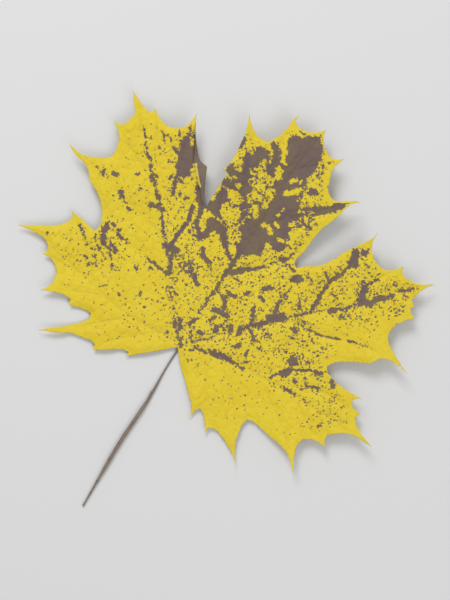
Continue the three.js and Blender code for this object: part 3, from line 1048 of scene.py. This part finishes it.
def leaf_material(name, yellows, decay_and_shade_browns, rim, vein_tint, vein_amount):
    """Dry leaf: yellow tissue, brown decay and painted vein shade with ragged edges, brown specks,
    fine veins.
    """
    n = Nodes(name)
    flat = n.attribute("flat", vector=True)
    decay_and_vein_shade = n.attribute("decay_and_vein_shade")
    specks = n.attribute("specks")
    vein = n.attribute("vein")
    cell = n.attribute("cell")
    edge = n.attribute("margin")

    # Large brown areas of decay, and painted shade along the veins, with ragged edges.
    ragged = n.noise(flat, scale=0.75, detail=3.5, roughness=0.66)
    fringe = n.math("MULTIPLY", n.math("SUBTRACT", ragged, 0.5), 3.9)
    decay_and_vein_shade_patch = n.ramp(n.math("ADD", decay_and_vein_shade, fringe), -0.09, 0.09)

    # Specks, in clumps: irregular flecks, and round spots of which the density keeps a share.
    clumps = n.noise(n.moved(flat, (5, 41, 9)), scale=0.3, detail=2, roughness=0.5)
    density = n.math("MULTIPLY", specks, n.math("ADD", -0.25, n.math("MULTIPLY", clumps, 2.3)))
    grains = n.noise(n.moved(flat, (31, 17, 5)), scale=0.95, detail=2.5, roughness=0.6)
    cut = n.math("SUBTRACT", 0.84, n.math("MULTIPLY", density, 0.23))
    flecks = n.ramp(n.math("SUBTRACT", grains, cut), -0.02, 0.02)
    crooked = n.node("TexNoise", {"Vector": flat, "Scale": 1.6, "Detail": 1.0})
    stray = n.node("VectorMath", operation="SCALE")
    n.put(stray.inputs[0], crooked.outputs["Color"])
    n.put(stray.inputs["Scale"], 1.5)
    spots = n.node("TexVoronoi", {"Vector": n.moved(flat, stray.outputs[0]), "Scale": 0.8})
    reach = n.math("ADD", 0.23, n.math("MULTIPLY", density, 0.075))
    round_spots = n.ramp(n.math("SUBTRACT", reach, spots.outputs["Distance"]), -0.05, 0.04)
    draw = n.node("SeparateColor", {"Color": spots.outputs["Color"]})
    kept = n.ramp(n.math("SUBTRACT", n.math("ADD", density, 0.12), draw.outputs["Red"]), 0, 0.03)
    dots = n.math("MAXIMUM", flecks, n.math("MULTIPLY", round_spots, kept))

    # The rim stays yellow, in a narrower band where specks, decay and painted vein shade lie close.
    reached = n.math("ADD", n.math("ADD", decay_and_vein_shade, edge), n.math("MULTIPLY", specks, 1.4))
    solid = n.ramp(reached, 0.4, 0.9)
    brown_decay_and_shade_here = n.math("MULTIPLY", n.math("MAXIMUM", decay_and_vein_shade_patch, dots), solid)

    # Yellow tissue, paler along its veins and its rim.
    broad = n.noise(n.moved(flat, (7, 3, 1)), scale=0.07, detail=3, roughness=0.55)
    middle = n.noise(n.moved(flat, (3, 9, 2)), scale=0.45, detail=4, roughness=0.6)
    fine = n.noise(n.moved(flat, (1, 2, 3)), scale=2.6, detail=3, roughness=0.6)
    yellow = n.blend(n.ramp(broad, 0.38, 0.62), yellows[0], yellows[1])
    yellow = n.blend(n.math("MULTIPLY", n.ramp(middle, 0.45, 0.7), 0.55), yellow, yellows[2])
    yellow = n.blend(n.math("MULTIPLY", vein, vein_amount), yellow, vein_tint)
    net = n.ramp(cell, 0.5, 0.0)
    yellow = n.blend(n.math("MULTIPLY", net, 0.12), yellow, vein_tint)
    yellow = n.blend(n.math("MULTIPLY", n.ramp(edge, 0.7, 0.1), 0.5), yellow, rim)

    # These browns colour the decay, the specks and the painted shade along the veins.
    decay_and_shade_brown = n.blend(n.ramp(broad, 0.44, 0.56), decay_and_shade_browns[0], decay_and_shade_browns[1])
    decay_and_shade_brown = n.blend(n.math("MULTIPLY", n.ramp(middle, 0.5, 0.72), 0.4), decay_and_shade_brown, decay_and_shade_browns[2])
    decay_and_shade_brown = n.blend(n.math("MULTIPLY", n.ramp(fine, 0.55, 0.75), 0.18), decay_and_shade_brown, decay_and_shade_browns[3])
    n.put(n.shader.inputs["Base Color"], n.blend(brown_decay_and_shade_here, yellow, decay_and_shade_brown))

    rough = n.math("ADD", 0.56, n.math("MULTIPLY", brown_decay_and_shade_here, 0.16))
    rough = n.math("ADD", rough, n.math("MULTIPLY", middle, 0.1))
    n.put(n.shader.inputs["Roughness"], rough)
    n.put(n.shader.inputs["Specular IOR Level"], 0.22)

    crinkle = n.math("MULTIPLY", middle, n.math("ADD", 0.35, n.math("MULTIPLY", brown_decay_and_shade_here, 0.5)))
    netting = n.node("TexVoronoi", {"Vector": flat, "Scale": 1.1}, feature="DISTANCE_TO_EDGE")
    panels = n.ramp(cell, 0.0, 0.7)
    threads = n.ramp(netting.outputs["Distance"], 0.0, 0.2)
    normal = n.bump(crinkle, distance=0.0004, strength=0.6)
    normal = n.bump(panels, distance=0.0001, strength=0.8, normal=normal)
    normal = n.bump(threads, distance=0.00005, strength=0.7, normal=normal)
    normal = n.bump(fine, distance=0.00006, strength=0.6, normal=normal)
    n.put(n.shader.inputs["Normal"], normal)
    return n.material


def stalk_material(name):
    """Dry stalk: lengthwise streaks in grey brown, with small dark marks."""
    n = Nodes(name)
    grain = n.attribute("grain", vector=True)
    stretch = n.node("VectorMath", operation="MULTIPLY")
    n.put(stretch.inputs[0], grain)
    n.put(stretch.inputs[1], (2.4, 2.4, 0.16))
    streaks = n.noise(stretch.outputs[0], scale=1.5, detail=4, roughness=0.6)
    marks = n.noise(grain, scale=0.9, detail=2, roughness=0.5)
    fine = n.noise(stretch.outputs[0], scale=6, detail=3, roughness=0.6)
    tone = n.blend(n.ramp(streaks, 0.36, 0.62), color(116, 104, 94), color(142, 128, 114))
    tone = n.blend(n.math("MULTIPLY", n.ramp(marks, 0.58, 0.7), 0.6), tone, color(98, 85, 78))
    tone = n.blend(n.math("MULTIPLY", n.ramp(fine, 0.6, 0.75), 0.4), tone, color(164, 150, 132))
    n.put(n.shader.inputs["Base Color"], tone)
    n.put(n.shader.inputs["Roughness"], n.math("ADD", 0.5, n.math("MULTIPLY", streaks, 0.25)))
    n.put(n.shader.inputs["Specular IOR Level"], 0.35)
    normal = n.bump(streaks, distance=0.00012, strength=0.6)
    normal = n.bump(fine, distance=0.00005, strength=0.5, normal=normal)
    n.put(n.shader.inputs["Normal"], normal)
    return n.material


upper_side = leaf_material(
    "dry_leaf_upper_side",
    (color(226, 200, 48), color(228, 204, 52), color(216, 190, 44)),
    (color(120, 104, 86), color(116, 98, 92), color(112, 96, 82), color(130, 114, 94)),
    color(230, 208, 84),
    color(222, 198, 70),
    0.3,
)
underside = leaf_material(
    "dry_leaf_underside",
    (color(214, 196, 96), color(218, 200, 104), color(204, 184, 88)),
    (color(130, 114, 97), color(126, 109, 99), color(120, 104, 90), color(142, 126, 108)),
    color(226, 206, 100),
    color(206, 186, 120),
    0.8,
)
blade.data.materials.append(upper_side)
blade.data.materials.append(underside)
flap.data.materials.append(underside)
flap.data.materials.append(upper_side)
stalk.data.materials.append(stalk_material("dry_stalk"))

# ---------------------------------------------------------------- floor, light and camera

FLOOR_DROP = 0.2        # the floor lies this far below the stalk's flat underside
FLOOR_GREY = 0.72
SKY_STRENGTH = 0.51

bpy.ops.mesh.primitive_plane_add(size=3, location=(0, 0, -FLOOR_DROP * MM))
floor = bpy.context.object
floor.name = "floor"
floor_nodes = Nodes("pale_floor")
floor_nodes.put(floor_nodes.shader.inputs["Base Color"], (FLOOR_GREY, FLOOR_GREY, FLOOR_GREY, 1))
floor_nodes.put(floor_nodes.shader.inputs["Roughness"], 0.8)
floor.data.materials.append(floor_nodes.material)

scene = bpy.context.scene
scene.view_settings.view_transform = "Standard"
world = bpy.data.worlds.new("soft_sky")
world.use_nodes = True
sky = world.node_tree.nodes["Background"]
sky.inputs["Color"].default_value = (1, 1, 1, 1)
sky.inputs["Strength"].default_value = SKY_STRENGTH
scene.world = world


def area_light(name, place, size, power, target=(0, 0.02, 0)):
    """A round lamp that shines at the target. Metres and watts."""
    light = bpy.data.lights.new(name, "AREA")
    light.shape = "DISK"
    light.size = size
    light.energy = power
    made = bpy.data.objects.new(name, light)
    made.location = place
    made.rotation_euler = (Vector(target) - Vector(place)).to_track_quat("-Z", "Y").to_euler()
    bpy.context.collection.objects.link(made)


area_light("key_light", place=(-0.55, 0.5, 0.75), size=0.45, power=5.1)
area_light("fill_light", place=(0.7, -0.3, 0.9), size=0.8, power=3)

# The camera looks straight down. Its plan view is 162 by 216 mm, turned by 32.5 degrees.
VIEW_CENTRE = (4.78, 21.3)
VIEW_TURN = math.radians(32.5)
VIEW_HEIGHT = 216
VIEW_LEVEL = 2          # the height above the floor at which the view has that size
LENS = 135
SENSOR = 36

camera = bpy.data.objects.new("camera", bpy.data.cameras.new("camera"))
camera.data.lens = LENS
camera.data.sensor_width = SENSOR
distance = VIEW_HEIGHT * LENS / SENSOR
camera.location = (VIEW_CENTRE[0] * MM, VIEW_CENTRE[1] * MM, (distance + VIEW_LEVEL) * MM)
camera.rotation_euler = (0, 0, VIEW_TURN)
bpy.context.collection.objects.link(camera)
scene.camera = camera
